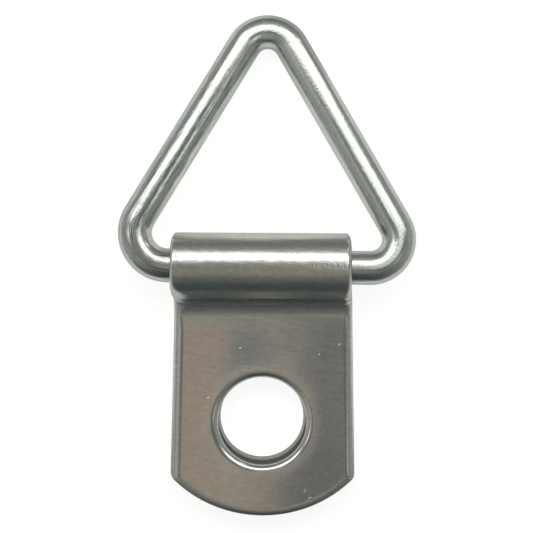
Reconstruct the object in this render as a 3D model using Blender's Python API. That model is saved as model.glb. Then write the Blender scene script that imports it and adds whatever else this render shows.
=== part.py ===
"""Plaque hanger: a plated steel strap folded round the base of a wire triangle.

The hanger lies on its back. X runs across the strap, +Y points from the
screw hole to the top of the ring, and +Z points out of the strap's front
face. The origin is under the middle of the hanger, on the plane of the
strap's back face. Lengths are in metres.
"""
import math

import bmesh
import bpy
from mathutils import Vector

MM = 0.001

# Strap: one punched strip, folded so that its two leaves lie together.
STRAP_WIDTH = 10.75 * MM
SHEET = 0.8 * MM             # sheet thickness
LEAF_GAP = 0.1 * MM          # air left between the two leaves
STRAP_DROP = 14.72 * MM      # ring axis to the strap's rounded end
END_RADIUS = 7.4 * MM        # arc of the strap's end
CORNER_RADIUS = 0.6 * MM     # corner between a side and the end arc
HOLE_DROP = 9.1 * MM         # ring axis to the screw hole
HOLE_FRONT = 5.2 * MM        # punched diameter, front leaf
HOLE_BACK = 5.0 * MM         # punched diameter, back leaf
ROLL_WIDTH = 0.45 * MM       # rolled edge left by the punch on the outer face
ROLL_DEPTH = 0.35 * MM
HOLE_ROLL = 0.45 * MM
CROTCH_RADIUS = 1.15 * MM    # hollow bend between the barrel and the front leaf

# Ring: round wire, bent to a triangle whose base runs through the barrel.
WIRE = 2.0 * MM
BARREL_PLAY = 0.2 * MM       # radial play of the wire in the barrel
RING_HALF_BASE = 9.17 * MM   # sharp corner of the wire's centre line
RING_HEIGHT = 15.63 * MM     # base to the sharp apex of the centre line
APEX_RADIUS = 1.64 * MM
BASE_RADIUS = 1.82 * MM
BUTT_GAP = 0.3 * MM          # the wire's two ends face each other in the barrel
RING_LIFT = 0.03 * MM        # air under the ring's apex as it lies at rest

# Facets
ROLL_STEPS = 3
BEND_STEP = math.radians(10.0)
FACE_COLUMNS = 10            # across the strap between its rolled edges
SIDE_STEPS = 5
CORNER_STEPS = 2
END_STEPS = 8
WIRE_BEND_STEPS = 10

BARREL_IN = WIRE / 2 + BARREL_PLAY
BARREL_MID = BARREL_IN + SHEET / 2
BARREL_OUT = BARREL_IN + SHEET
AXIS_Z = BARREL_OUT                       # the barrel is flush with the back
FRONT_Z = 2 * SHEET + LEAF_GAP

HALF_APEX = math.atan2(RING_HALF_BASE, RING_HEIGHT)
APEX_CENTRE = RING_HEIGHT - APEX_RADIUS * (1 / math.sin(HALF_APEX) - 1)
RING_REST = -math.asin((AXIS_Z - WIRE / 2 - RING_LIFT) / APEX_CENTRE)
RING_TOP = APEX_CENTRE * math.cos(RING_REST) + WIRE / 2
AXIS_Y = (STRAP_DROP - RING_TOP) / 2      # centres the hanger on Y = 0


def clear_scene():
    for obj in list(bpy.data.objects):
        bpy.data.objects.remove(obj, do_unlink=True)


def plated_steel(name, colour, roughness):
    mat = bpy.data.materials.new(name)
    mat.use_nodes = True
    shader = mat.node_tree.nodes["Principled BSDF"]
    shader.inputs["Base Color"].default_value = (*colour, 1.0)
    shader.inputs["Metallic"].default_value = 1.0
    shader.inputs["Roughness"].default_value = roughness
    mat.diffuse_color = (*colour, 1.0)
    return mat


def spread(first, last, steps):
    return [first + (last - first) * i / steps for i in range(steps + 1)]


# --- the fold: where a point of the flat strip ends up -----------------------
# The strip's middle line runs up the back leaf, round the barrel, through the
# crotch bend and down the front leaf. A strip point has a distance along that
# line and a height above it, positive on the side that ends up outside.

CROTCH_MID = CROTCH_RADIUS + SHEET / 2
_RISE = FRONT_Z + CROTCH_RADIUS - AXIS_Z
WRAP_PAST_TOP = math.acos(_RISE / (BARREL_MID + CROTCH_MID))
BARREL_TURN = math.pi + WRAP_PAST_TOP
CROTCH_Y = -(BARREL_MID + CROTCH_MID) * math.sin(WRAP_PAST_TOP)
CROTCH_Z = AXIS_Z + _RISE

S_BARREL = STRAP_DROP
S_CROTCH = S_BARREL + BARREL_TURN * BARREL_MID
S_FRONT = S_CROTCH + WRAP_PAST_TOP * CROTCH_MID
S_END = S_FRONT + STRAP_DROP + CROTCH_Y


def fold(s, height):
    """Y and Z, from the ring axis and the back plane, of a strip point."""
    if s <= S_BARREL:
        return s - STRAP_DROP, SHEET / 2 - height
    if s <= S_CROTCH:
        turn = -math.pi / 2 + (s - S_BARREL) / BARREL_MID
        r = BARREL_MID + height
        return r * math.cos(turn), AXIS_Z + r * math.sin(turn)
    if s <= S_FRONT:
        turn = WRAP_PAST_TOP - math.pi / 2 - (s - S_CROTCH) / CROTCH_MID
        r = CROTCH_MID - height
        return CROTCH_Y + r * math.cos(turn), CROTCH_Z + r * math.sin(turn)
    return CROTCH_Y - (s - S_FRONT), FRONT_Z - SHEET / 2 + height


# --- the flat strip ----------------------------------------------------------

def roll(width, depth):
    """Inset and height of a rolled edge, from the face to the wall."""
    out = []
    for i in range(ROLL_STEPS + 1):
        a = 0.5 * math.pi * i / ROLL_STEPS
        out.append((width * (1 - math.sin(a)), SHEET / 2 - depth * (1 - math.cos(a))))
    return out


HOLE_TO_END = STRAP_DROP - HOLE_DROP
NECK = 3.6 * MM              # hole centre to the line where the leaf is plain
END_CENTRE = END_RADIUS - HOLE_TO_END
CORNER_X = STRAP_WIDTH / 2 - CORNER_RADIUS
CORNER_P = END_CENTRE - math.sqrt((END_RADIUS - CORNER_RADIUS) ** 2 - CORNER_X ** 2)


def outline(inset):
    """The leaf's end, about its hole, from the neck's right side clockwise."""
    x = STRAP_WIDTH / 2 - inset
    pts = [(x, p) for p in spread(NECK, CORNER_P, SIDE_STEPS)]
    last = math.atan2(CORNER_P - END_CENTRE, CORNER_X)
    for a in spread(0.0, last, CORNER_STEPS)[1:]:
        r = CORNER_RADIUS - inset
        pts.append((CORNER_X + r * math.cos(a), CORNER_P + r * math.sin(a)))
    for a in spread(last, -math.pi - last, END_STEPS)[1:]:
        r = END_RADIUS - inset
        pts.append((r * math.cos(a), END_CENTRE + r * math.sin(a)))
    half = SIDE_STEPS + CORNER_STEPS
    return pts + [(-px, pp) for px, pp in reversed(pts[:half])]


def columns(inset):
    half = STRAP_WIDTH / 2 - inset
    return [half * math.tan(a) / math.tan(math.pi / 3.2)
            for a in spread(-math.pi / 3.2, math.pi / 3.2, FACE_COLUMNS)]


def ring_of(points, closed, next_points):
    """Quads between two rows of vertices of the same length."""
    n = len(points)
    for i in range(n if closed else n - 1):
        j = (i + 1) % n
        yield points[i], points[j], next_points[j], next_points[i]


def leaf_end(bm, s_hole, towards, diameter):
    """One end of the strip, with its hole, in flat strip coordinates."""
    def verts(points, height):
        return [bm.verts.new((x, s_hole + towards * p, height)) for x, p in points]

    edge = roll(ROLL_WIDTH, ROLL_DEPTH)
    hole = roll(HOLE_ROLL, ROLL_DEPTH)
    count = len(outline(0.0)) + FACE_COLUMNS - 1
    start = 0.5 * math.pi - 2 * math.pi * (FACE_COLUMNS / 2) / count

    def circle(radius):
        return [(radius * math.cos(start - 2 * math.pi * i / count),
                 radius * math.sin(start - 2 * math.pi * i / count))
                for i in range(count)]

    def loop(inset):
        return outline(inset) + [(x, NECK) for x in columns(inset)[1:-1]]

    quads = []
    # outer face, from the rolled hole to the rolled outline
    face = verts(loop(ROLL_WIDTH), SHEET / 2)
    rim = [verts(circle(diameter / 2 + inset), h) for inset, h in hole]
    quads += ring_of(face, True, rim[0])
    for a, b in zip(rim, rim[1:]):
        quads += ring_of(a, True, b)
    sides = [verts(outline(inset), h) for inset, h in edge]
    for a, b in zip(sides, sides[1:]):
        quads += ring_of(a, False, b)
    # inner face and the two walls
    under = verts(loop(0.0), -SHEET / 2)
    under_rim = verts(circle(diameter / 2), -SHEET / 2)
    quads += ring_of(under, True, under_rim)
    quads += ring_of(rim[-1], True, under_rim)
    quads += ring_of(sides[-1], False, under[:len(sides[-1])])
    for quad in quads:
        bm.faces.new(quad)


def strip_rows(bm, s_first, s_last):
    """The plain length of the strip between its two ends."""
    edge = roll(ROLL_WIDTH, ROLL_DEPTH)
    half = STRAP_WIDTH / 2
    section = [(half - inset, h) for inset, h in reversed(edge)][:-1]
    section += [(x, SHEET / 2) for x in reversed(columns(ROLL_WIDTH))]
    section += [(inset - half, h) for inset, h in edge[1:]]
    section += [(x, -SHEET / 2) for x in columns(0.0)]

    barrel_steps = math.ceil(BARREL_TURN / BEND_STEP)
    crotch_steps = math.ceil(WRAP_PAST_TOP / BEND_STEP)
    stations = [s_first]
    stations += spread(S_BARREL, S_CROTCH, barrel_steps)
    stations += spread(S_CROTCH, S_FRONT, crotch_steps)[1:]
    stations.append(s_last)
    rows = [[bm.verts.new((x, s, h)) for x, h in section] for s in stations]
    for a, b in zip(rows, rows[1:]):
        for quad in ring_of(a, True, b):
            bm.faces.new(quad)


def make_strap():
    bm = bmesh.new()
    s_hole_back = HOLE_TO_END
    s_hole_front = S_END - HOLE_TO_END
    leaf_end(bm, s_hole_back, 1, HOLE_BACK)
    leaf_end(bm, s_hole_front, -1, HOLE_FRONT)
    strip_rows(bm, s_hole_back + NECK, s_hole_front - NECK)
    bmesh.ops.remove_doubles(bm, verts=bm.verts, dist=1e-7)
    bmesh.ops.recalc_face_normals(bm, faces=bm.faces)
    for v in bm.verts:
        y, z = fold(v.co.y, v.co.z)
        v.co = Vector((v.co.x, AXIS_Y + y, z))
    bmesh.ops.reverse_faces(bm, faces=bm.faces)
    mesh = bpy.data.meshes.new("strap")
    bm.to_mesh(mesh)
    bm.free()
    mesh.shade_smooth()
    mesh.set_sharp_from_angle(angle=math.radians(40))
    strap = bpy.data.objects.new("strap", mesh)
    bpy.context.collection.objects.link(strap)
    mesh.materials.append(plated_steel("strap_plate", (0.56, 0.53, 0.48), 0.24))
    return strap


# --- the ring ----------------------------------------------------------------

def bend(corner, before, after, radius, steps):
    """Points of an arc that rounds one corner of the wire's centre line."""
    to_before = (before - corner).normalized()
    to_after = (after - corner).normalized()
    half = 0.5 * to_before.angle(to_after)
    inward = (to_before + to_after).normalized()
    centre = corner + inward * (radius / math.sin(half))
    first = corner + to_before * (radius / math.tan(half)) - centre
    last = corner + to_after * (radius / math.tan(half)) - centre
    sweep = first.angle(last)
    return [centre + (first * math.sin(sweep - a) + last * math.sin(a)) / math.sin(sweep)
            for a in spread(0.0, sweep, steps)]


def ring_line():
    left = Vector((-RING_HALF_BASE, 0.0, 0.0))
    right = Vector((RING_HALF_BASE, 0.0, 0.0))
    top = Vector((0.0, RING_HEIGHT, 0.0))
    line = [Vector((BUTT_GAP / 2, 0.0, 0.0))]
    line += bend(right, left, top, BASE_RADIUS, WIRE_BEND_STEPS)
    line += bend(top, right, left, APEX_RADIUS, WIRE_BEND_STEPS)
    line += bend(left, top, right, BASE_RADIUS, WIRE_BEND_STEPS)
    line.append(Vector((-BUTT_GAP / 2, 0.0, 0.0)))
    return line


def make_ring():
    curve = bpy.data.curves.new("ring", "CURVE")
    curve.dimensions = "3D"
    curve.bevel_depth = WIRE / 2
    curve.bevel_resolution = 8
    curve.use_fill_caps = True
    line = ring_line()
    spline = curve.splines.new("POLY")
    spline.points.add(len(line) - 1)
    for point, co in zip(spline.points, line):
        point.co = (*co, 1.0)
    spline.use_smooth = True
    ring = bpy.data.objects.new("ring", curve)
    bpy.context.collection.objects.link(ring)
    curve.materials.append(plated_steel("ring_wire", (0.60, 0.60, 0.56), 0.20))
    # The ring's own origin is on the barrel's axis, about which it swings.
    ring.location = (0.0, AXIS_Y, AXIS_Z)
    ring.rotation_euler = (RING_REST, 0.0, 0.0)
    return ring


def main():
    clear_scene()
    make_strap()
    make_ring()


main()
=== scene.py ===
"""Plaque hanger, finished: fine meshes and plated-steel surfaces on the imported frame.

Lengths in the mesh functions are millimetres, and each mesh is scaled to metres
at the end. X runs across the strap, +Y from the screw hole to the top of the
ring, +Z out of the strap's front face.
"""
import math

import bmesh
import bpy
import numpy as np
from mathutils import Matrix, Vector, noise


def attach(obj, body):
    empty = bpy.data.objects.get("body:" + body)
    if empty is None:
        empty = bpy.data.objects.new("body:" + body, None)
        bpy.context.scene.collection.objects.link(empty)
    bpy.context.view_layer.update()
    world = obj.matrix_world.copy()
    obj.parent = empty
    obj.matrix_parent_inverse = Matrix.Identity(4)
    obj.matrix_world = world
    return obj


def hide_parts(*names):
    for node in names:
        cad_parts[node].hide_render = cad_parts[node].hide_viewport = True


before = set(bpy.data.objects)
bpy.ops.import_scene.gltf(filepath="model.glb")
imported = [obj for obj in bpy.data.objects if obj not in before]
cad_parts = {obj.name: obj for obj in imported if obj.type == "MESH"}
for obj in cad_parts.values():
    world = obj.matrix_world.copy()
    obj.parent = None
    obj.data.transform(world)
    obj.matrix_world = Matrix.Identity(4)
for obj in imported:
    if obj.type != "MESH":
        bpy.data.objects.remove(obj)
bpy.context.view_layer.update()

# --- dimensions, as in the construction --------------------------------------

WIDTH = 10.75
SHEET = 0.8
LEAF_GAP = 0.1
STRAP_DROP = 14.72
END_RADIUS = 7.4
CROTCH_RADIUS = 1.15
HOLE_TO_END = 5.62

WIRE = 2.0
BARREL_PLAY = 0.2
RING_HALF_BASE = 9.17
RING_HEIGHT = 15.63
APEX_RADIUS = 1.64
BASE_RADIUS = 1.82
BUTT_GAP = 0.3

BARREL_IN = WIRE / 2 + BARREL_PLAY
BARREL_MID = BARREL_IN + SHEET / 2
AXIS_Y = -0.13776
AXIS_Z = BARREL_IN + SHEET
FRONT_Z = 2 * SHEET + LEAF_GAP
RING_REST = math.radians(-3.965)


def spread(first, last, steps):
    return [first + (last - first) * i / steps for i in range(steps + 1)]


def mix(a, b, t):
    return a + (b - a) * t


def smooth(t):
    t = min(1.0, max(0.0, t))
    return t * t * (3 - 2 * t)


# --- the strap: a flat blank, folded -----------------------------------------

CROTCH_MID = CROTCH_RADIUS + SHEET / 2
RISE = FRONT_Z + CROTCH_RADIUS - AXIS_Z
WRAP = math.acos(RISE / (BARREL_MID + CROTCH_MID))
CROTCH_Y = -(BARREL_MID + CROTCH_MID) * math.sin(WRAP)
CROTCH_Z = AXIS_Z + RISE
S_BARREL = STRAP_DROP
S_CROTCH = S_BARREL + (math.pi + WRAP) * BARREL_MID
S_FRONT = S_CROTCH + WRAP * CROTCH_MID
S_END = S_FRONT + STRAP_DROP + CROTCH_Y


def fold(s, height):
    """Y and Z, from the ring's axis and the back plane, of a point of the blank."""
    if s <= S_BARREL:
        return s - STRAP_DROP, SHEET / 2 - height
    if s <= S_CROTCH:
        turn = -math.pi / 2 + (s - S_BARREL) / BARREL_MID
        r = BARREL_MID + height
        return r * math.cos(turn), AXIS_Z + r * math.sin(turn)
    if s <= S_FRONT:
        turn = WRAP - math.pi / 2 - (s - S_CROTCH) / CROTCH_MID
        r = CROTCH_MID - height
        return CROTCH_Y + r * math.cos(turn), CROTCH_Z + r * math.sin(turn)
    return CROTCH_Y - (s - S_FRONT), FRONT_Z - SHEET / 2 + height


# Rounded edges: the sides are round-edged strip, the end and the holes are punched.
SIDE_ROLL = (0.60, 0.50)         # width on the face, depth in the sheet
END_ROLL = (0.44, 0.20)
HOLE_ROLL = (0.44, 0.37)
BURR = 0.06                      # small round on the inner face's edges
CREASE = 0.045                   # from a rounding's start back to the last plain part of the face
HOLE_FRONT = 2.60                # radius
HOLE_BACK = 2.47
BREAKOUT = 0.12                  # the punch tears the last part of a hole wider
NECK = HOLE_TO_END + 3.6         # from the end to where the leaf is plain
ROLL_STEPS = 9
WALL_STEPS = 3
BURR_STEPS = 3
COLUMNS = 44
SIDE_STEPS = 22
CORNER_STEPS = 7
ARC_STEPS = 46
FACE_RINGS = 12


def columns(first, last):
    """Places across the strip, with a narrow step at each side."""
    k = math.pi / 3.6
    middle, half = (first + last) / 2, (last - first) / 2 - CREASE
    return [first] + [middle + half * math.tan(a) / math.tan(k) for a in spread(-k, k, COLUMNS)] + [last]


def half_outline(corner_radius):
    """Right half of a leaf's end, from the neck down to the tip.

    Each point has its place on the edge, its place where the flat face begins,
    and the depth of the rounding there.
    """
    side_w, side_d = SIDE_ROLL
    end_w, end_d = END_ROLL
    cx = WIDTH / 2 - corner_radius
    cq = END_RADIUS - math.sqrt((END_RADIUS - corner_radius) ** 2 - cx ** 2)
    last = math.atan2(cq - END_RADIUS, cx)
    inner_x = WIDTH / 2 - side_w
    inner_r = END_RADIUS - end_w
    mitre = END_RADIUS - math.sqrt(inner_r ** 2 - inner_x ** 2)
    blunt = 0.05
    out = []
    for q in spread(NECK, cq, SIDE_STEPS):
        t = (NECK - q) / (NECK - cq)
        out.append((WIDTH / 2, q, inner_x, mix(NECK, mitre + blunt, t), side_d))
    for i in range(1, CORNER_STEPS + 1):
        t = i / CORNER_STEPS
        a = last * t
        out.append((cx + corner_radius * math.cos(a), cq + corner_radius * math.sin(a),
                    inner_x, mix(mitre + blunt, mitre, t), mix(side_d, end_d, smooth(t))))
    x_last = END_RADIUS * math.cos(last)
    for a in spread(last, -math.pi / 2, ARC_STEPS // 2)[1:]:
        x = END_RADIUS * math.cos(a)
        inner = x * inner_x / x_last
        out.append((x, END_RADIUS + END_RADIUS * math.sin(a),
                    inner, END_RADIUS - math.sqrt(inner_r ** 2 - inner ** 2), end_d))
    return out


def outline():
    """The whole edge of a leaf's end, from the neck's right side round to its left."""
    right = half_outline(0.55)
    left = half_outline(0.78)
    return right + [(-x, q, -ix, iq, d) for x, q, ix, iq, d in reversed(left[:-1])]


def arc_length(width, depth, a):
    """Length along a rounded edge from the face to angle a."""
    steps = 24
    total, last = 0.0, (0.0, 0.0)
    for i in range(1, steps + 1):
        t = a * i / steps
        now = (width * math.sin(t), depth * (1 - math.cos(t)))
        total += math.hypot(now[0] - last[0], now[1] - last[1])
        last = now
    return total


class Blank:
    """The flat strip: points with their finish facts, and faces by region."""

    def __init__(self):
        self.points, self.facts, self.faces, self.regions = [], [], [], []

    def add(self, x, s, h, flat, edge, wall):
        self.points.append((x, s, h))
        self.facts.append((*flat, edge, wall))
        return len(self.points) - 1

    def band(self, a, b, closed, region):
        n = len(a)
        for i in range(n if closed else n - 1):
            j = (i + 1) % n
            self.faces.append((a[i], a[j], b[j], b[i]))
            self.regions.append(region)


OUTER, INNER = 0, 1


def edge_chain(width, depth, breakout=0.0):
    """(share of the width, height, edge, wall, length) from the face down the wall."""
    out = []
    for i in range(1, ROLL_STEPS + 1):
        a = 0.5 * math.pi * i / ROLL_STEPS
        out.append((math.sin(a), SHEET / 2 - depth * (1 - math.cos(a)),
                    i / ROLL_STEPS, 0.0, arc_length(width, depth, a)))
    top, low = SHEET / 2 - depth, -SHEET / 2 + BURR
    run = out[-1][4]
    for i in range(1, WALL_STEPS + 1):
        t = i / WALL_STEPS
        torn = breakout * max(0.0, 1.5 * t - 0.5) / width
        out.append((1.0 - torn, mix(top, low, t), 1.0, 1.0, run + (top - low) * t))
    run = out[-1][4]
    for i in range(1, BURR_STEPS + 1):
        a = 0.5 * math.pi * i / BURR_STEPS
        out.append((1.0 - (breakout + BURR * (1 - math.cos(a))) / width, low - BURR * math.sin(a),
                    1.0, 1.0 - i / BURR_STEPS, run + BURR * a))
    return out


def leaf_end(blank, to_s, hole_q, hole_r, hole_x):
    """One end of the strip with its punched hole. to_s turns a distance from the end into a place along the strip."""
    edge = outline()
    face_half = WIDTH / 2 - SIDE_ROLL[0]
    neck_cols = columns(-face_half, face_half)[1:-1]
    face_loop = [(ix, iq) for x, q, ix, iq, d in edge] + [(x, NECK) for x in neck_cols]

    def put(x, q, h, flat, e, w):
        return blank.add(x, to_s(q), h, (flat[0], to_s(flat[1])), e, w)

    around = [math.atan2(q - hole_q, x - hole_x) for x, q in face_loop]
    start = hole_r + HOLE_ROLL[0]
    rings = []
    # closer together near the hole, and a narrow one at each end
    places = [0.0, 0.018] + [1 - (1 - k / FACE_RINGS) ** 1.6 for k in range(1, FACE_RINGS)] + [1.0]
    for t in places:
        row = []
        for (x, q), a in zip(face_loop, around):
            cx, cq = hole_x + start * math.cos(a), hole_q + start * math.sin(a)
            px, pq = mix(x, cx, t), mix(q, cq, t)
            row.append(put(px, pq, SHEET / 2, (px, pq), 0.0, 0.0))
        rings.append(row)
    for share, h, e, w, run in edge_chain(*HOLE_ROLL, BREAKOUT):
        r = start - HOLE_ROLL[0] * share
        f = start - run
        rings.append([put(hole_x + r * math.cos(a), hole_q + r * math.sin(a), h,
                          (hole_x + f * math.cos(a), hole_q + f * math.sin(a)), e, w)
                      for a in around])
    for a, b in zip(rings, rings[1:]):
        blank.band(a, b, True, OUTER)

    # the outline's rounding and wall
    rows = [[put(ix, iq, SHEET / 2, (ix, iq), 0.0, 0.0) for x, q, ix, iq, d in edge]]
    chains = [edge_chain(math.hypot(x - ix, q - iq), d) for x, q, ix, iq, d in edge]
    for i in range(len(chains[0])):
        row = []
        for (x, q, ix, iq, d), chain in zip(edge, chains):
            share, h, e, w, run = chain[i]
            reach = math.hypot(x - ix, q - iq)
            row.append(put(mix(ix, x, share), mix(iq, q, share), h,
                           (ix + (x - ix) / reach * run, iq + (q - iq) / reach * run), e, w))
        rows.append(row)
    for a, b in zip(rows, rows[1:]):
        blank.band(a, b, False, OUTER)

    # the inner face, from the outline to the hole
    low = rows[-1]
    loop = [blank.points[i] for i in low]
    loop = [(x, s) for x, s, h in loop]
    s_neck = to_s(NECK)
    loop += [(x, s_neck) for x in columns(BURR - WIDTH / 2, WIDTH / 2 - BURR)[1:-1]]
    hole = [blank.points[i] for i in rings[-1]]
    under = []
    for k in range(5):
        t = k / 4
        under.append([blank.add(mix(x, hx, t), mix(s, hs, t), -SHEET / 2, (0.0, 0.0), 0.0, 0.0)
                      for (x, s), (hx, hs, hh) in zip(loop, hole)])
    for a, b in zip(under, under[1:]):
        blank.band(a, b, True, INNER)


def roll_at(s, tight, drawn):
    """A side's rounding along the strip: the bend draws it tight on the barrel, and wide where it leaves it."""
    wide = max(smooth((s - S_CROTCH - 0.25) / (S_FRONT + 0.65 - S_CROTCH)),
               smooth((S_BARREL + 0.6 - s) / 1.6))
    leave = math.exp(-((s - S_CROTCH - 0.15) / 0.80) ** 2)
    return (mix(tight[0], SIDE_ROLL[0], wide) + drawn * leave,
            mix(tight[1], SIDE_ROLL[1], wide) + 0.09 * drawn * leave)


def strip(blank, s_first, s_last):
    """The plain length between the two ends."""
    stations = spread(s_first, S_BARREL, 12)
    stations += spread(S_BARREL, S_CROTCH, 132)[1:]
    stations += spread(S_CROTCH, S_FRONT, 32)[1:]
    stations += spread(S_FRONT, s_last, 16)[1:]
    outer, inner = [], []
    for s in stations:
        sides = []
        for tight, drawn in (((0.22, 0.34), 2.00), ((0.30, 0.40), 0.22)):
            width, depth = roll_at(s, tight, drawn)
            face = WIDTH / 2 - width
            sides.append((face, [(face + width * share, h, face + run, e, w)
                                 for share, h, e, w, run in edge_chain(width, depth)]))
        (left_face, left), (right_face, right) = sides
        section = [(-x, h, -f, e, w) for x, h, f, e, w in reversed(left)]
        section += [(x, SHEET / 2, x, 0.0, 0.0) for x in columns(-left_face, right_face)]
        section += right
        outer.append([blank.add(x, s, h, (f, s), e, w) for x, h, f, e, w in section])
        inner.append([blank.add(x, s, -SHEET / 2, (0.0, 0.0), 0.0, 0.0)
                      for x in reversed(columns(BURR - WIDTH / 2, WIDTH / 2 - BURR))])
    for a, b in zip(outer, outer[1:]):
        blank.band(a, b, False, OUTER)
    for a, b in zip(inner, inner[1:]):
        blank.band(a, b, False, INNER)


def sideways(x, s):
    """X of a point of the strip: a little narrower round the barrel, which sits slightly to one side."""
    half = 5.519 - 0.0181 * min(s, S_END - s, S_BARREL)
    bend = smooth((s - S_BARREL + 0.8) / 1.6) * smooth((S_FRONT - 0.5 - s) / (S_FRONT - S_CROTCH + 0.6))
    tuck = 0.10 * math.exp(-((s - S_BARREL - 0.5 * math.pi * BARREL_MID) / 0.75) ** 2) if x < 0 else 0.0
    return mix(0.02, -0.135, bend) + x / (WIDTH / 2) * (mix(half, 5.285, bend) - tuck)


def bulge(x, s):
    """How the bend stands out from a true round: fuller at the top, with a shoulder where the tool nips it, and flared at the crotch's ends."""
    top = 0.05 * math.exp(-((s - S_BARREL - 0.5 * math.pi * BARREL_MID) / 1.5) ** 2)
    crotch = math.exp(-((s - S_CROTCH - 0.15) / 0.75) ** 2)
    nip = -0.075 * math.exp(-((s - S_CROTCH - 0.75) / 0.50) ** 2)
    side = smooth((-x - 3.1) / 2.2)
    rise = (s - S_BARREL - (math.pi + math.radians(48.2)) * BARREL_MID) * 1.25
    rise = min(max(rise, 0.0), 0.48 + 0.30 * side)
    shoulder = rise ** 2 / 4 * smooth((S_CROTCH + 0.04 + 0.30 * side - s) / (0.38 + 0.2 * side))
    return top + nip + shoulder + crotch * (0.12 * side ** 1.5 + 0.06 * smooth((x - 4.2) / 1.1) ** 1.5)


def unevenness(x, s):
    """Slight waviness that rolling and folding leave in the sheet."""
    p = Vector((x * 0.28, s * 0.28, 3.7))
    return 0.0030 * noise.noise(p) + 0.0012 * noise.noise(p * 2.7 + Vector((9.0, 4.0, 0.0)))


BAKE_SPLIT = S_BARREL + 1.5
FRONT_X, BACK_X = -0.03, -0.05


def make_strap():
    blank = Blank()
    back_q = HOLE_TO_END + 0.21      # the two punched holes don't quite line up
    front_q = HOLE_TO_END - 0.02
    leaf_end(blank, lambda q: q, back_q, HOLE_BACK, BACK_X)
    leaf_end(blank, lambda q: S_END - q, front_q, HOLE_FRONT, FRONT_X)
    strip(blank, NECK, S_END - NECK)

    bm = bmesh.new()
    flat_layer = bm.verts.layers.float_vector.new("blank")
    dev_layer = bm.verts.layers.float_vector.new("developed")
    edge_layer = bm.verts.layers.float.new("edge")
    wall_layer = bm.verts.layers.float.new("wall")
    region_layer = bm.faces.layers.int.new("region")
    verts = []
    for (x, s, h), (fx, fs, e, w) in zip(blank.points, blank.facts):
        v = bm.verts.new((x, s, h))
        v[flat_layer] = (x, s, h)
        v[dev_layer] = (fx, fs, 0.0)
        v[edge_layer] = e
        v[wall_layer] = w
        verts.append(v)
    bm.verts.index_update()
    for face, region in zip(blank.faces, blank.regions):
        f = bm.faces.new([verts[i] for i in face])
        f[region_layer] = region
    bmesh.ops.remove_doubles(bm, verts=bm.verts, dist=2e-4)
    bmesh.ops.recalc_face_normals(bm, faces=bm.faces)

    # Bake layout: the outer face in two halves side by side, the inner face small below.
    uv = bm.loops.layers.uv.new("OFBake")
    side = WIDTH / 2 + 1.25
    block = 2 * side + 0.3
    total_u = 2 * block
    tall = max(BAKE_SPLIT + 1.4, S_END + 1.4 - BAKE_SPLIT) + 0.2
    small = 0.33
    total_v = tall + WIDTH * small + 0.8
    size = max(total_u, total_v)
    for f in bm.faces:
        if f[region_layer] == INNER:
            for loop in f.loops:
                x, s, h = loop.vert[flat_layer]
                loop[uv].uv = ((s * small + 0.3) / size,
                               (tall + 0.4 + (x + WIDTH / 2) * small) / size)
            continue
        front = f.calc_center_median().y > BAKE_SPLIT
        for loop in f.loops:
            x, s, h = loop.vert[dev_layer]
            u = x + side + 0.15 + (block if front else 0.0)
            v = s - BAKE_SPLIT + 0.1 if front else s + 1.3
            loop[uv].uv = (u / size, v / size)

    # Waviness and the dip that the punch leaves round each hole, then the fold.
    holes = ((FRONT_X, S_END - front_q, HOLE_FRONT), (BACK_X, back_q, HOLE_BACK))
    for v in bm.verts:
        x, s, h = v[flat_layer]
        lift = unevenness(x, s) + (bulge(x, s) if h > 0 else 0.0)
        for hx, hs, r in holes:
            away = math.hypot(x - hx, s - hs) - r
            lift -= 0.005 * math.exp(-(max(0.0, away - 0.3) / 0.42) ** 2)
        if h < 0:
            lift *= 0.25
        y, z = fold(s, h + lift)
        v.co = Vector((sideways(x, s), AXIS_Y + y, z)) * 0.001
    bmesh.ops.reverse_faces(bm, faces=bm.faces)
    mesh = bpy.data.meshes.new("strap_finished")
    bm.to_mesh(mesh)
    bm.free()
    mesh.shade_smooth()
    obj = bpy.data.objects.new("strap_finished", mesh)
    bpy.context.scene.collection.objects.link(obj)
    return obj


# --- the ring: drawn wire, bent by hand-fed tooling ---------------------------

def rounded_corner(corner, before, after, radius, steps):
    to_before = (before - corner).normalized()
    to_after = (after - corner).normalized()
    half = 0.5 * to_before.angle(to_after)
    centre = corner + (to_before + to_after).normalized() * (radius / math.sin(half))
    first = corner + to_before * (radius / math.tan(half)) - centre
    last = corner + to_after * (radius / math.tan(half)) - centre
    sweep = first.angle(last)
    return [centre + (first * math.sin(sweep - a) + last * math.sin(a)) / math.sin(sweep)
            for a in spread(0.0, sweep, steps)]


LEFT_RADIUS = 1.95               # the two base corners weren't bent quite alike
RIGHT_RADIUS = 1.70
RING_YAW = math.radians(-0.46)
RING_SHIFT = (0.10, 0.057)
WIRE_SIDES = 84
STATION = 0.14


def wire_line():
    """Points along the wire's centre line, evenly spaced, in the ring's plane."""
    left = Vector((-RING_HALF_BASE, 0.0))
    right = Vector((RING_HALF_BASE, 0.0))
    top = Vector((0.0, RING_HEIGHT))
    rough = [Vector((BUTT_GAP / 2, 0.0))]
    rough += rounded_corner(right, left, top, RIGHT_RADIUS, 60)
    rough += rounded_corner(top, right, left, APEX_RADIUS, 60)
    rough += rounded_corner(left, top, right, LEFT_RADIUS, 60)
    rough.append(Vector((-BUTT_GAP / 2, 0.0)))
    at = [0.0]
    for a, b in zip(rough, rough[1:]):
        at.append(at[-1] + (b - a).length)
    count = round(at[-1] / STATION)
    out, i = [], 0
    for k in range(count + 1):
        want = at[-1] * k / count
        while i < len(at) - 2 and at[i + 1] < want:
            i += 1
        t = (want - at[i]) / (at[i + 1] - at[i])
        out.append((rough[i].lerp(rough[i + 1], t), want))
    return out


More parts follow.
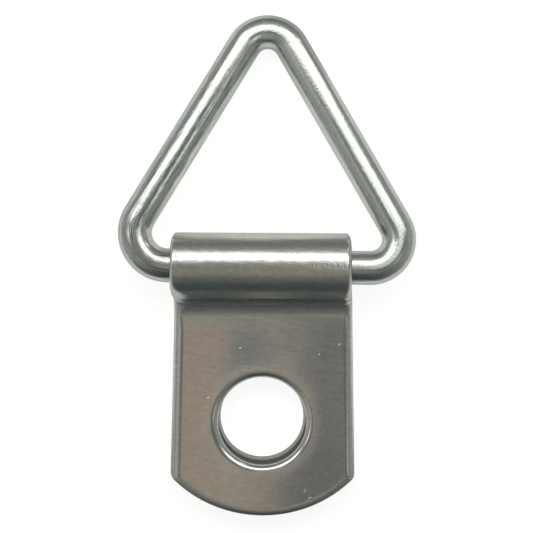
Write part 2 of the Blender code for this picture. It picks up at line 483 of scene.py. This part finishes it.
def make_ring():
    line = wire_line()
    n = len(line)
    rng = np.random.default_rng(41)
    # lines that the drawing die leaves along the wire, each with its own place, width and depth
    marks = [(rng.uniform(0, 2 * math.pi), rng.uniform(0.035, 0.10), rng.uniform(-0.0035, 0.0022),
              rng.uniform(0, 100)) for _ in range(46)]
    points, facts = [], []
    for k, (p, along) in enumerate(line):
        a = line[max(0, k - 1)][0]
        b = line[min(n - 1, k + 1)][0]
        ahead = (b - a).normalized()
        out = Vector((ahead.y, -ahead.x))        # away from the ring's middle
        chamfer = 0.12 * max(0.0, 1 - min(along, line[-1][1] - along) / 0.12) ** 2
        for j in range(WIRE_SIDES):
            turn = 2 * math.pi * j / WIRE_SIDES
            r = WIRE / 2 - chamfer
            twist = turn + 0.010 * along
            for place, width, depth, seed in marks:
                d = (twist - place + math.pi) % (2 * math.pi) - math.pi
                if abs(d) < 3 * width:
                    fade = 0.5 + 0.9 * noise.noise(Vector((along * 0.30, seed, 1.3)))
                    r += depth * max(0.0, fade) * math.exp(-(d / width) ** 2)
            r += 0.0035 * noise.noise(Vector((along * 0.45, 1.1 * math.cos(turn), 1.1 * math.sin(turn))))
            x = p.x + out.x * r * math.cos(turn)
            y = p.y + out.y * r * math.cos(turn)
            points.append(Vector((x, y, r * math.sin(turn))))
            facts.append((along, math.cos(turn), math.sin(turn)))
    place = (Matrix.Translation((0, AXIS_Y, AXIS_Z)) @ Matrix.Rotation(RING_REST, 4, "X")
             @ Matrix.Translation((RING_SHIFT[0], RING_SHIFT[1], 0.0))
             @ Matrix.Rotation(RING_YAW, 4, "Z"))
    co = [(place @ v) * 0.001 for v in points]

    faces, cells = [], []
    for k in range(n - 1):
        for j in range(WIRE_SIDES):
            i = (j + 1) % WIRE_SIDES
            faces.append((k * WIRE_SIDES + j, k * WIRE_SIDES + i,
                          (k + 1) * WIRE_SIDES + i, (k + 1) * WIRE_SIDES + j))
            cells.append((k, j))
    bm = bmesh.new()
    wire_layer = bm.verts.layers.float_vector.new("wire")
    uv = bm.loops.layers.uv.new("OFBake")
    verts = []
    for c, f in zip(co, facts):
        v = bm.verts.new(c)
        v[wire_layer] = f
        verts.append(v)
    rows = 3
    per_row = math.ceil((n - 1) / rows)
    for face, (k, j) in zip(faces, cells):
        f = bm.faces.new([verts[i] for i in face])
        row = k // per_row
        for loop, (dk, dj) in zip(f.loops, ((0, 0), (0, 1), (1, 1), (1, 0))):
            u = 0.008 + 0.984 * (k + dk - row * per_row) / per_row
            # the seam runs along the wire's underside
            around = ((j + WIRE_SIDES // 4) % WIRE_SIDES + dj) / WIRE_SIDES
            loop[uv].uv = (u, 0.004 + (row + 0.02 + 0.94 * around) * 0.325)
    # the two cut ends, each a shallow dome
    for k, sign in ((0, -1), (n - 1, 1)):
        ring = [verts[k * WIRE_SIDES + j] for j in range(WIRE_SIDES)]
        p, along = line[k]
        a, b = (line[0][0], line[1][0]) if k == 0 else (line[n - 2][0], line[n - 1][0])
        ahead = (b - a).normalized() * sign
        rim = ring
        for share, bulge in ((0.7, 0.02), (0.35, 0.03)):
            now = []
            for j, v in enumerate(ring):
                turn = 2 * math.pi * j / WIRE_SIDES
                r = (WIRE / 2 - 0.12) * share
                out = Vector((ahead.y, -ahead.x)) * sign
                q = Vector((p.x + out.x * r * math.cos(turn) + ahead.x * bulge,
                            p.y + out.y * r * math.cos(turn) + ahead.y * bulge, r * math.sin(turn)))
                w = bm.verts.new((place @ q) * 0.001)
                w[wire_layer] = (along, math.cos(turn), math.sin(turn))
                now.append(w)
            for j in range(WIRE_SIDES):
                i = (j + 1) % WIRE_SIDES
                f = bm.faces.new((rim[j], rim[i], now[i], now[j]))
                for loop in f.loops:
                    t = loop.vert[wire_layer]
                    inner = loop.vert in now
                    m = (share if inner else share + 0.33)
                    loop[uv].uv = (0.02 + 0.008 * (1 + m * t[1]) + (0.03 if k else 0), 0.985 + 0.006 * m * t[2])
            rim = now
        cap = bm.faces.new(rim)
        for loop in cap.loops:
            t = loop.vert[wire_layer]
            loop[uv].uv = (0.02 + 0.008 * (1 + 0.35 * t[1]) + (0.03 if k else 0), 0.985 + 0.006 * 0.35 * t[2])
    bmesh.ops.recalc_face_normals(bm, faces=bm.faces)
    mesh = bpy.data.meshes.new("ring_finished")
    bm.to_mesh(mesh)
    bm.free()
    mesh.shade_smooth()
    obj = bpy.data.objects.new("ring_finished", mesh)
    bpy.context.scene.collection.objects.link(obj)
    return obj


# --- surfaces ----------------------------------------------------------------

class Tree:
    """Short names for building a node tree."""

    def __init__(self, owner):
        owner.use_nodes = True
        self.nt = owner.node_tree
        self.nt.nodes.clear()

    def add(self, kind, ins=None, **props):
        n = self.nt.nodes.new(kind)
        for k, v in props.items():
            setattr(n, k, v)
        for k, v in (ins or {}).items():
            self.put(n.inputs[k], v)
        return n

    def put(self, socket, v):
        if isinstance(v, bpy.types.NodeSocket):
            self.nt.links.new(v, socket)
        else:
            socket.default_value = v

    def math(self, op, a, b=0.0, c=None, clamp=False):
        n = self.add("ShaderNodeMath", operation=op, use_clamp=clamp)
        self.put(n.inputs[0], a)
        self.put(n.inputs[1], b)
        if c is not None:
            self.put(n.inputs[2], c)
        return n.outputs[0]

    def vec(self, op, a, b=None, scale=None):
        n = self.add("ShaderNodeVectorMath", operation=op)
        self.put(n.inputs[0], a)
        if b is not None:
            self.put(n.inputs[1], b)
        if scale is not None:
            self.put(n.inputs["Scale"], scale)
        return n.outputs["Value" if op in ("LENGTH", "DOT_PRODUCT", "DISTANCE") else "Vector"]

    def ramp(self, fac, stops, mode="LINEAR"):
        n = self.add("ShaderNodeValToRGB")
        n.color_ramp.interpolation = mode
        e = n.color_ramp.elements
        while len(e) > 1:
            e.remove(e[-1])
        for i, (p, c) in enumerate(stops):
            if isinstance(c, (int, float)):
                c = (c, c, c)
            el = e[0] if i == 0 else e.new(p)
            el.position = p
            el.color = (*c, 1.0)
        self.put(n.inputs[0], fac)
        return n.outputs["Color"]

    def noise(self, vector, scale=1.0, detail=2.0, rough=0.5):
        n = self.add("ShaderNodeTexNoise", {"Vector": vector, "Scale": scale, "Detail": detail,
                                            "Roughness": rough})
        return n.outputs["Fac"]

    def step(self, v, lo, hi):
        n = self.add("ShaderNodeMapRange", {"Value": v, "From Min": lo, "From Max": hi},
                     interpolation_type="SMOOTHSTEP")
        return n.outputs["Result"]

    def blend(self, fac, a, b, kind="MIX"):
        n = self.add("ShaderNodeMix", data_type="RGBA", blend_type=kind)
        self.put(n.inputs["Factor"], fac)
        self.put(n.inputs[6], a)
        self.put(n.inputs[7], b)
        return n.outputs[2]

    def turned(self, vector, angle, scale, offset=(0, 0, 0)):
        """vector turned about its third axis, then scaled."""
        n = self.add("ShaderNodeMapping", {"Vector": vector, "Location": offset,
                                           "Rotation": (0, 0, angle)}, vector_type="POINT")
        m = self.add("ShaderNodeVectorMath", operation="MULTIPLY")
        self.put(m.inputs[0], n.outputs[0])
        m.inputs[1].default_value = scale
        return m.outputs[0]


def scratches(t, vector, angle, across, along, lo, hi, offset):
    """Fine lines at one angle, present only here and there."""
    lines = t.noise(t.turned(vector, angle, (across, along, 0.3), offset), 1.0, 2.0, 0.6)
    where = t.noise(t.turned(vector, angle, (0.5, 0.25, 0.2), offset), 1.0, 1.0, 0.5)
    return t.math("MULTIPLY", t.step(lines, lo, hi), t.step(where, 0.5, 0.62))


def nick(t, vector, x, s, angle, half_length, half_width):
    """A single small mark in the plating."""
    d = t.vec("SUBTRACT", vector, (x, s, SHEET / 2))
    n = t.turned(d, angle, (1 / half_length, 1 / half_width, 1.5))
    return t.step(t.vec("LENGTH", n), 1.0, 0.35)


def plate_finish():
    mat = bpy.data.materials.new("strap_plate")
    t = Tree(mat)
    at = t.add("ShaderNodeAttribute", attribute_name="blank").outputs["Vector"]
    edge = t.add("ShaderNodeAttribute", attribute_name="edge").outputs["Fac"]
    wall = t.add("ShaderNodeAttribute", attribute_name="wall").outputs["Fac"]

    # rolling grain runs along the strip, a little aslant; the punched walls show drag lines
    grain = t.noise(t.turned(at, 0.16, (13.0, 0.9, 9.0)), 1.0, 3.0, 0.65)
    fine = t.noise(t.turned(at, -0.28, (30.0, 3.2, 20.0), (4, 7, 0)), 1.0, 2.0, 0.6)
    drag = t.noise(t.turned(at, 0.0, (9.0, 9.0, 0.8), (2, 1, 0)), 1.0, 3.0, 0.7)
    pores = t.noise(at, 11.0, 3.0, 0.6)
    mottle = t.noise(t.turned(at, 1.45, (5.5, 2.6, 4.0), (6, 1, 3)), 1.0, 2.0, 0.55)
    cloud = t.noise(t.turned(at, 0.3, (0.20, 0.24, 0.2), (3.1, 0.7, 0)), 1.0, 2.0, 0.5)
    haze = t.noise(t.turned(at, 0.1, (0.6, 0.9, 0.5), (8, 2, 0)), 1.0, 3.0, 0.55)
    wipe = t.noise(t.turned(at, 1.45, (5.0, 0.45, 0.5), (1, 6, 0)), 1.0, 3.0, 0.6)

    # the bend has stretched the outer skin, which leaves it a little uneven there
    place = t.add("ShaderNodeSeparateXYZ", {"Vector": at})
    bent = t.math("MULTIPLY", t.step(place.outputs[1], S_BARREL - 0.2, S_BARREL + 0.6),
                  t.step(place.outputs[1], S_FRONT + 0.4, S_CROTCH - 0.3))
    peel = t.noise(t.turned(at, 0.55, (8.0, 2.6, 4.0), (5, 2, 0)), 1.0, 3.0, 0.62)
    deep = t.math("DIVIDE", t.math("SUBTRACT", place.outputs[1], S_CROTCH + 0.5), 1.25)
    crotch = t.math("EXPONENT", t.math("MULTIPLY", t.math("MULTIPLY", deep, deep), -1.0))
    seam = t.math("DIVIDE", t.math("SUBTRACT", place.outputs[1], S_CROTCH + 0.74), 0.36)
    seam = t.math("EXPONENT", t.math("MULTIPLY", t.math("MULTIPLY", seam, seam), -1.0))      # rubbed dull by the folding tool
    painted_reflection_band = t.math("MULTIPLY", t.step(place.outputs[1], S_FRONT - 0.6, S_FRONT),
                   t.step(place.outputs[1], S_FRONT + 1.05, S_FRONT + 0.05))
    inside = t.step(place.outputs[2], -0.33, -0.39)
    upper = t.step(place.outputs[1], S_END - 7.6, S_END - 9.0)     # above the hole, where the cross streaks are darker and deeper

    s1 = scratches(t, at, 0.5, 22.0, 0.30, 0.70, 0.76, (0, 0, 0))
    s2 = scratches(t, at, -0.9, 26.0, 0.42, 0.70, 0.76, (5, 3, 0))
    s3 = scratches(t, at, 1.5, 24.0, 0.36, 0.70, 0.76, (9, 8, 0))
    scratch = t.math("ADD", t.math("ADD", s1, s2), s3, clamp=True)

    cell = t.add("ShaderNodeTexVoronoi", {"Vector": at, "Scale": 1.15, "Randomness": 1.0})
    pick = t.add("ShaderNodeSeparateColor", {"Color": cell.outputs["Color"]})
    pits = t.math("MULTIPLY", t.step(cell.outputs["Distance"], 0.06, 0.025),
                  t.step(pick.outputs[0], 0.62, 0.64))
    front = S_END - HOLE_TO_END
    marks = nick(t, at, -3.23, front - 1.42, 0.9, 0.11, 0.045)
    for x, s, angle, length, width in ((-1.35, front - 4.35, 0.4, 0.09, 0.035),
                                       (3.35, front - 4.0, 0.2, 0.05, 0.045),
                                       (4.55, front - 4.6, 1.2, 0.10, 0.05),
                                       (2.45, front + 4.1, 1.25, 0.22, 0.03),
                                       (2.75, front + 4.5, 0.5, 0.12, 0.03)):
        marks = t.math("MAXIMUM", marks, nick(t, at, x, s, angle, length, width))

    # colour: bright nickel, a shade warmer or cooler in places, dull in the punched walls; painted shade, with some
    # dirt, darkens the inner face between the leaves, and a cooler tint is painted in as reflection just below the
    # bend
    colour = t.ramp(cloud, [(0.30, (0.555, 0.590, 0.560)), (0.50, (0.590, 0.605, 0.565)),
                            (0.70, (0.625, 0.610, 0.555))], "EASE")
    colour = t.blend(t.math("MULTIPLY", t.step(haze, 0.42, 0.72), 0.22), colour, (0.48, 0.49, 0.465, 1))
    colour = t.blend(t.math("MULTIPLY", t.step(wipe, 0.50, 0.66), t.math("MULTIPLY_ADD", upper, 0.24, 0.14)), colour, (0.45, 0.455, 0.44, 1))
    colour = t.blend(t.math("MULTIPLY", t.step(grain, 0.35, 0.75), 0.12), colour, (0.67, 0.68, 0.64, 1))
    # painted reflection: a cooler tint at the top of the plate, just below the bend and strongest to the left, stands
    # in for a cooler reflection there
    painted_cool_reflection = t.math("MULTIPLY_ADD", t.step(place.outputs[0], 1.0, -3.6), 0.72, 0.12)
    colour = t.blend(t.math("MULTIPLY", painted_reflection_band, painted_cool_reflection), colour, (0.515, 0.615, 0.555, 1))
    shade = t.math("MULTIPLY_ADD", mottle, 0.34, 0.83)
    colour = t.vec("SCALE", colour, scale=shade)
    colour = t.blend(t.math("MULTIPLY", wall, t.math("MULTIPLY_ADD", drag, 0.5, 0.5), clamp=True), colour,
                     (0.355, 0.355, 0.345, 1))
    # painted shade, with some dirt: the inner face, seen between the leaves, is darkened nearly to black
    colour = t.blend(t.math("MULTIPLY", inside, 0.9), colour, (0.14, 0.137, 0.13, 1))
    colour = t.blend(t.math("MULTIPLY", scratch, 0.35), colour, (0.75, 0.76, 0.73, 1))
    colour = t.blend(t.math("MULTIPLY", pits, 0.45), colour, (0.77, 0.78, 0.75, 1))
    colour = t.blend(t.math("MULTIPLY", marks, 0.8), colour, (0.88, 0.88, 0.86, 1))

    rough = t.math("MULTIPLY_ADD", grain, 0.03, 0.035)
    rough = t.math("MULTIPLY_ADD", haze, 0.04, rough)
    rough = t.math("MULTIPLY_ADD", edge, 0.015, rough)
    rough = t.math("MULTIPLY_ADD", scratch, 0.10, rough)
    rough = t.math("MULTIPLY_ADD", wall, t.math("MULTIPLY_ADD", drag, 0.22, 0.10), rough)
    rough = t.math("MULTIPLY_ADD", inside, 0.22, rough)
    rough = t.math("MULTIPLY_ADD", bent, 0.085, rough)
    rough = t.math("MULTIPLY_ADD", crotch, 0.09, rough)
    rough = t.math("MULTIPLY_ADD", seam, 0.07, rough)

    height = t.math("MULTIPLY", grain, t.math("MULTIPLY_ADD", bent, 1.02, 0.08))
    height = t.math("MULTIPLY_ADD", fine, t.math("MULTIPLY_ADD", bent, 0.63, 0.02), height)
    height = t.math("MULTIPLY_ADD", pores, t.math("MULTIPLY_ADD", bent, 9.45, 0.05), height)
    height = t.math("MULTIPLY_ADD", t.math("MULTIPLY", peel, bent), 9.0, height)
    height = t.math("MULTIPLY_ADD", wipe, t.math("MULTIPLY_ADD", upper, 0.3, 0.25), height)
    height = t.math("MULTIPLY_ADD", scratch, -0.8, height)
    height = t.math("MULTIPLY_ADD", pits, -2.0, height)
    height = t.math("MULTIPLY_ADD", marks, -9.0, height)
    height = t.math("MULTIPLY_ADD", t.math("MULTIPLY", wall, drag), 9.0, height)
    bump = t.add("ShaderNodeBump", {"Height": height, "Strength": 1.0, "Distance": 1.1e-6})

    shader = t.add("ShaderNodeBsdfPrincipled", {"Base Color": colour, "Metallic": 0.92,
                                                "Roughness": rough, "Normal": bump.outputs[0],
                                                "Specular Tint": (0.66, 0.67, 0.65, 1)})
    t.put(shader.inputs["Metallic"], t.math("MULTIPLY_ADD", seam, -0.085, t.math("MULTIPLY_ADD", crotch, -0.09, 0.92)))
    t.add("ShaderNodeOutputMaterial", {"Surface": shader.outputs[0]})
    mat.diffuse_color = (0.58, 0.56, 0.52, 1)
    return mat


def wire_finish():
    mat = bpy.data.materials.new("ring_wire")
    t = Tree(mat)
    at = t.add("ShaderNodeAttribute", attribute_name="wire").outputs["Vector"]   # along, cos, sin

    def scaled(along, around, offset=(0, 0, 0)):
        v = t.vec("MULTIPLY", at, (along, around, around))
        return t.vec("ADD", v, offset)

    die = t.noise(scaled(0.22, 7.0), 1.0, 4.0, 0.7)
    die_fine = t.noise(scaled(0.55, 16.0, (3, 1, 8)), 1.0, 3.0, 0.65)
    streak = t.noise(scaled(0.55, 13.0, (1, 4, 6)), 1.0, 2.0, 0.55)
    wander = t.noise(scaled(1.5, 4.5, (3, 8, 2)), 1.0, 1.5, 0.5)
    hairs = t.noise(scaled(8.0, 5.5, (7, 2, 5)), 1.0, 3.0, 0.65)
    pores = t.noise(scaled(9.0, 9.0), 1.0, 3.0, 0.6)
    cloud = t.noise(scaled(0.35, 0.8, (2, 9, 4)), 1.0, 2.0, 0.5)
    # one leg keeps the drawn lines, the other is rubbed to a fine grain
    length = t.add("ShaderNodeSeparateXYZ", {"Vector": at}).outputs[0]
    drawn = t.math("MULTIPLY_ADD", t.step(length, 22.0, 30.0), 0.85, 0.15)
    rubbed = t.math("SUBTRACT", 1.15, drawn)

    colour = t.ramp(cloud, [(0.30, (0.560, 0.610, 0.580)), (0.52, (0.573, 0.615, 0.580)),
                            (0.72, (0.596, 0.615, 0.565))], "EASE")
    colour = t.vec("SCALE", colour, scale=t.math("MULTIPLY_ADD", pores, 0.40, 0.80))
    colour = t.blend(t.math("MULTIPLY", t.step(die, 0.52, 0.66), 0.45), colour, (0.36, 0.37, 0.355, 1))
    colour = t.blend(t.math("MULTIPLY", t.step(die_fine, 0.54, 0.72), 0.22), colour, (0.73, 0.75, 0.72, 1))

    scored = t.math("MULTIPLY", t.step(streak, 0.565, 0.605), drawn)
    colour = t.blend(t.math("MULTIPLY", scored, 0.72), colour, (0.20, 0.21, 0.20, 1))

    rough = t.math("MULTIPLY_ADD", die, 0.08, 0.065)
    rough = t.math("MULTIPLY_ADD", scored, 0.08, rough)

    height = t.math("MULTIPLY", die, 4.5)
    height = t.math("MULTIPLY_ADD", t.math("MULTIPLY", streak, drawn), 4.0, height)
    height = t.math("MULTIPLY_ADD", t.math("MULTIPLY", wander, drawn), 8.0, height)
    height = t.math("MULTIPLY_ADD", die_fine, 1.1, height)
    height = t.math("MULTIPLY_ADD", t.math("MULTIPLY", hairs, rubbed), 9.0, height)
    height = t.math("MULTIPLY_ADD", pores, 0.3, height)
    bump = t.add("ShaderNodeBump", {"Height": height, "Strength": 1.0, "Distance": 1.6e-6})

    shader = t.add("ShaderNodeBsdfPrincipled", {"Base Color": colour, "Metallic": 0.92,
                                                "Roughness": rough, "Normal": bump.outputs[0],
                                                "Specular Tint": (0.66, 0.67, 0.65, 1)})
    t.add("ShaderNodeOutputMaterial", {"Surface": shader.outputs[0]})
    mat.diffuse_color = (0.61, 0.61, 0.58, 1)
    return mat


strap = make_strap()
strap.data.materials.append(plate_finish())
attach(strap, "strap")
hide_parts("strap")

ring = make_ring()
ring.data.materials.append(wire_finish())
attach(ring, "ring")
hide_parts("ring")

# --- floor, light and camera --------------------------------------------------

floor_mesh = bpy.data.meshes.new("floor")
reach = 1.5
floor_mesh.from_pydata([(-reach, -reach, 0), (reach, -reach, 0), (reach, reach, 0), (-reach, reach, 0)],
                       [], [(0, 1, 2, 3)])
floor = bpy.data.objects.new("floor", floor_mesh)
floor.location.z = -0.00002
bpy.context.scene.collection.objects.link(floor)
paper = bpy.data.materials.new("floor_paper")
pt = Tree(paper)
spot = pt.add("ShaderNodeNewGeometry").outputs["Position"]
spot_xyz = pt.add("ShaderNodeSeparateXYZ", {"Vector": spot})
# to the eye a bright white sheet with faint shadows; in the metal's reflections the floor glows with painted light, a
# pool that darkens outwards, with painted shade towards the front and in one region to the right
bright = pt.add("ShaderNodeEmission", {"Color": (1.0, 1.0, 0.995, 1), "Strength": 0.885})
white = pt.add("ShaderNodeBsdfDiffuse", {"Color": (0.24, 0.24, 0.238, 1)})
eye = pt.add("ShaderNodeAddShader", {0: bright.outputs[0], 1: white.outputs[0]})
painted_light_pool = pt.ramp(pt.math("DIVIDE", pt.vec("LENGTH", spot), 0.08),
               [(0.0, 0.48), (0.12, 0.47), (0.20, 0.41), (0.36, 0.26), (0.80, 0.20)])
# painted shade: the floor's diffuse colour, seen only in the metal, fades outwards
fade = pt.ramp(pt.math("DIVIDE", pt.vec("LENGTH", spot), 0.08), [(0.0, 1.0), (0.19, 1.0), (0.40, 0.35), (0.80, 0.20)])
painted_front_shade = pt.math("MULTIPLY_ADD", pt.step(spot_xyz.outputs[1], -0.0150, -0.007), 0.48, 0.52)
# painted shade: seen in the metal, the floor darkens in a region to the right of the ring's right leg
beyond = pt.math("MULTIPLY_ADD", spot_xyz.outputs[1], 0.862, pt.math("MULTIPLY", spot_xyz.outputs[0], -0.506))
beyond = pt.math("MULTIPLY", pt.step(beyond, 0.0070, 0.0095), pt.step(spot_xyz.outputs[0], -0.002, 0.003))
painted_front_shade = pt.math("MULTIPLY", painted_front_shade, pt.math("MULTIPLY_ADD", beyond, -0.38, 1.0))
# painted light: an emission, not a lamp, that the metal sees as the floor
painted_floor_light = pt.add("ShaderNodeEmission", {"Color": painted_light_pool, "Strength": painted_front_shade})
grey = pt.add("ShaderNodeBsdfDiffuse", {"Color": pt.vec("SCALE", fade, scale=pt.math("MULTIPLY", painted_front_shade, 0.55))})
metal_side = pt.add("ShaderNodeAddShader", {0: painted_floor_light.outputs[0], 1: grey.outputs[0]})
direct = pt.add("ShaderNodeLightPath").outputs["Is Camera Ray"]
sheet = pt.add("ShaderNodeMixShader", {0: direct, 1: metal_side.outputs[0], 2: eye.outputs[0]})
pt.add("ShaderNodeOutputMaterial", {"Surface": sheet.outputs[0]})
floor_mesh.materials.append(paper)


def area(name, x, y, z, size_x, size_y, radiance, colour=(1, 1, 1), turn=-7.0, spread=180.0, tilt=0.0):
    """A flat lamp that shines down or, tilted, towards +Y, as bright as radiance when seen straight on."""
    lamp = bpy.data.lights.new(name, "AREA")
    lamp.shape = "RECTANGLE"
    lamp.size, lamp.size_y = size_x, size_y
    lamp.energy = math.pi * size_x * size_y * radiance
    if spread < 180.0:
        half = math.radians(spread) / 2
        lamp.spread = 2 * half
        lamp.energy *= 1 - half / math.tan(half)
    lamp.color = colour
    obj = bpy.data.objects.new(name, lamp)
    obj.location = (x, y, z)
    obj.rotation_euler = (math.radians(tilt), 0.0, math.radians(turn))
    obj.visible_camera = False
    bpy.context.scene.collection.objects.link(obj)
    return obj


# one soft box, bright in the middle and fading outwards
area("key_edge", 0.010, 0.0689, 0.0850, 0.184, 0.0743, 0.30, (1.0, 1.0, 0.985))
area("key_body", 0.006, 0.0626, 0.0852, 0.156, 0.0548, 1.00, (1.0, 1.0, 0.985))
area("key_core", 0.005, 0.0596, 0.0854, 0.128, 0.0428, 1.40, (1.0, 1.0, 0.985))
area("wing_body", -0.050, 0.0400, 0.0857, 0.066, 0.018, 1.60, (1.0, 1.0, 0.985))
area("wing_edge", -0.052, 0.0420, 0.0858, 0.086, 0.032, 0.45, (1.0, 1.0, 0.985))
area("wing_far", -0.096, 0.0680, 0.0859, 0.052, 0.046, 0.75, (1.0, 1.0, 0.985))
area("near_right", 0.0130, 0.0030, 0.0300, 0.009, 0.014, 0.75, (1.0, 1.0, 0.985))
area("strip_right", 0.0060, 0.0073, 0.0150, 0.0090, 0.0033, 1.90, (1.0, 1.0, 0.985), 119.5, 50.0)
area("strip_left", -0.0052, 0.0119, 0.0150, 0.0083, 0.0030, 1.30, (1.0, 1.0, 0.985), 59.7, 60.0)
area("top_right", 0.0195, 0.0267, 0.0150, 0.0180, 0.0056, 2.00, (1.0, 1.0, 0.985), 42.0)
area("strip_top", 0.0, 0.0159, 0.0150, 0.0050, 0.0028, 1.60, (1.0, 1.0, 0.985), 0.0, 50.0)
area("apex_fill", 0.0, 0.0015, 0.0145, 0.0120, 0.0115, 0.34, (1.0, 1.0, 0.985), 0.0, 60.0, 45.0)
area("key_right", 0.034, 0.0260, 0.0856, 0.036, 0.018, 0.80, (1.0, 1.0, 0.985))

world = bpy.data.worlds.new("studio")
bpy.context.scene.world = world
w = Tree(world)
ray = w.add("ShaderNodeTexCoord").outputs["Generated"]
axis = w.add("ShaderNodeSeparateXYZ", {"Vector": ray})
dx, dy, dz = axis.outputs
polar = w.math("DIVIDE", w.math("ARCCOSINE", dz), math.pi / 2)          # 0 overhead, 1 at the horizon
level = w.math("MAXIMUM", w.math("SQRT", w.math("ADD", w.math("MULTIPLY", dx, dx),
                                                w.math("MULTIPLY", dy, dy))), 1e-4)
cx, cy = w.math("DIVIDE", dx, level), w.math("DIVIDE", dy, level)


def lobe(value):
    v = w.math("MAXIMUM", value, 0.0)
    return w.math("MULTIPLY", v, v)


far = w.ramp(polar, [(0.0, (0.36, 0.34, 0.31)), (0.55, (0.41, 0.41, 0.39)), (0.64, (0.44, 0.44, 0.42)),
                     (0.72, (0.31, 0.31, 0.295)), (0.81, (0.20, 0.205, 0.195)), (1.0, (0.16, 0.165, 0.16))])
near = w.ramp(polar, [(0.0, (0.36, 0.33, 0.285)), (0.10, (0.35, 0.325, 0.285)), (0.256, (0.305, 0.285, 0.255)),
                      (0.38, (0.18, 0.175, 0.165)), (0.478, (0.118, 0.12, 0.118)), (0.68, (0.038, 0.053, 0.058)),
                      (0.92, (0.038, 0.050, 0.055)), (1.0, (0.07, 0.072, 0.072))])
left = w.ramp(polar, [(0.0, (0.44, 0.355, 0.305)), (0.055, (0.44, 0.355, 0.305)), (0.075, (0.33, 0.28, 0.25)),
                      (0.105, (0.17, 0.16, 0.15)), (0.28, (0.165, 0.16, 0.15)), (0.36, (0.30, 0.295, 0.285)),
                      (0.44, (0.40, 0.40, 0.385)), (0.53, (0.45, 0.45, 0.435)), (0.62, (0.42, 0.42, 0.405)),
                      (0.70, (0.37, 0.37, 0.355)), (0.79, (0.33, 0.32, 0.305)), (0.88, (0.42, 0.415, 0.405)),
                      (1.0, (0.60, 0.60, 0.59))])
right = w.ramp(polar, [(0.0, (0.20, 0.20, 0.20)), (0.06, (0.19, 0.195, 0.195)), (0.09, (0.15, 0.155, 0.155)),
                       (0.12, (0.112, 0.117, 0.117)), (0.34, (0.112, 0.117, 0.117)), (0.50, (0.28, 0.285, 0.275)),
                       (0.60, (0.32, 0.325, 0.315)), (0.70, (0.31, 0.315, 0.305)), (0.78, (0.34, 0.345, 0.335)),
                       (0.88, (0.40, 0.405, 0.395)), (1.0, (0.50, 0.50, 0.49))])
sky = w.vec("SCALE", far, scale=lobe(cy))
sky = w.vec("ADD", sky, w.vec("SCALE", near, scale=lobe(w.math("MULTIPLY", cy, -1.0))))
sky = w.vec("ADD", sky, w.vec("SCALE", left, scale=lobe(w.math("MULTIPLY", cx, -1.0))))
sky = w.vec("ADD", sky, w.vec("SCALE", right, scale=lobe(cx)))
# straight overhead, which the flat of the strap shows, it is warmer to the left and darker to the right
across = w.math("ADD", dx, w.math("MULTIPLY_ADD", dy, -0.15, -0.0095))
overhead = w.ramp(w.math("MULTIPLY_ADD", across, 5.0, 0.5),
                  [(0.20, (0.437, 0.337, 0.293)), (0.32, (0.425, 0.339, 0.294)), (0.45, (0.430, 0.366, 0.302)),
                   (0.53, (0.395, 0.340, 0.298)), (0.585, (0.335, 0.300, 0.270)), (0.64, (0.245, 0.230, 0.222)),
                   (0.70, (0.158, 0.170, 0.180)), (0.80, (0.215, 0.208, 0.206))])
ex, ey = w.math("DIVIDE", dx, 0.10), w.math("DIVIDE", w.math("ADD", dy, 0.06), 0.20)
off = w.math("SQRT", w.math("ADD", w.math("MULTIPLY", ex, ex), w.math("MULTIPLY", ey, ey)))
sky = w.blend(w.step(off, 1.2, 0.7), sky, overhead)


def patch(sky, way, width, gain):
    """A soft round patch of more or less light, at its half at width degrees from its middle."""
    k = math.log(2) / (1 - math.cos(math.radians(width)))
    d = w.math("SUBTRACT", w.vec("DOT_PRODUCT", ray, Vector(way).normalized()), 1.0)
    fade = w.math("EXPONENT", w.math("MULTIPLY", d, k))
    return w.vec("ADD", sky, w.vec("SCALE", gain, scale=fade))


sky = patch(sky, (0.530, -0.210, 0.822), 6.0, (0.58, 0.58, 0.565))
sky = patch(sky, (-0.848, -0.530, 0.035), 14.0, (0.18, 0.18, 0.176))
sky = patch(sky, (-0.635, 0.100, 0.766), 5.0, (1.30, 1.30, 1.27))
sky = patch(sky, (-0.500, -0.240, 0.832), 9.0, (0.15, 0.15, 0.145))
sky = patch(sky, (0.275, 0.10, 0.956), 6.0, (0.09, 0.09, 0.088))
sky = patch(sky, (-0.224, 0.13, 0.966), 6.0, (0.12, 0.12, 0.117))
sky = patch(sky, (0.0, -0.114, 0.993), 2.2, (0.05, 0.05, 0.047))
sky = patch(sky, (-0.0125, -0.0540, 0.998), 0.65, (-0.250, -0.165, -0.090))
sky = patch(sky, (-0.0125, -0.0740, 0.998), 0.65, (-0.250, -0.165, -0.090))
sky = patch(sky, (0.036, -0.145, 0.989), 2.0, (-0.02, -0.035, -0.03))
seen = w.add("ShaderNodeLightPath").outputs["Is Camera Ray"]
sky = w.blend(seen, sky, (0.93, 0.93, 0.92, 1))
back = w.add("ShaderNodeBackground", {"Color": sky, "Strength": 1.0})
w.add("ShaderNodeOutputWorld", {"Surface": back.outputs[0]})

camera_data = bpy.data.cameras.new("camera")
camera_data.lens = 91.5
camera_data.sensor_width = 36.0
camera_data.clip_start = 0.001
camera_data.clip_end = 10.0
camera = bpy.data.objects.new("camera", camera_data)
camera.location = (0.000192, -0.000078, 0.0819)
camera.rotation_euler = (0.0, 0.0, math.radians(0.313))
bpy.context.scene.collection.objects.link(camera)
scene = bpy.context.scene
scene.camera = camera
scene.view_settings.view_transform = "Standard"
scene.view_settings.look = "None"
scene.view_settings.exposure = 0.0
scene.view_settings.gamma = 1.0
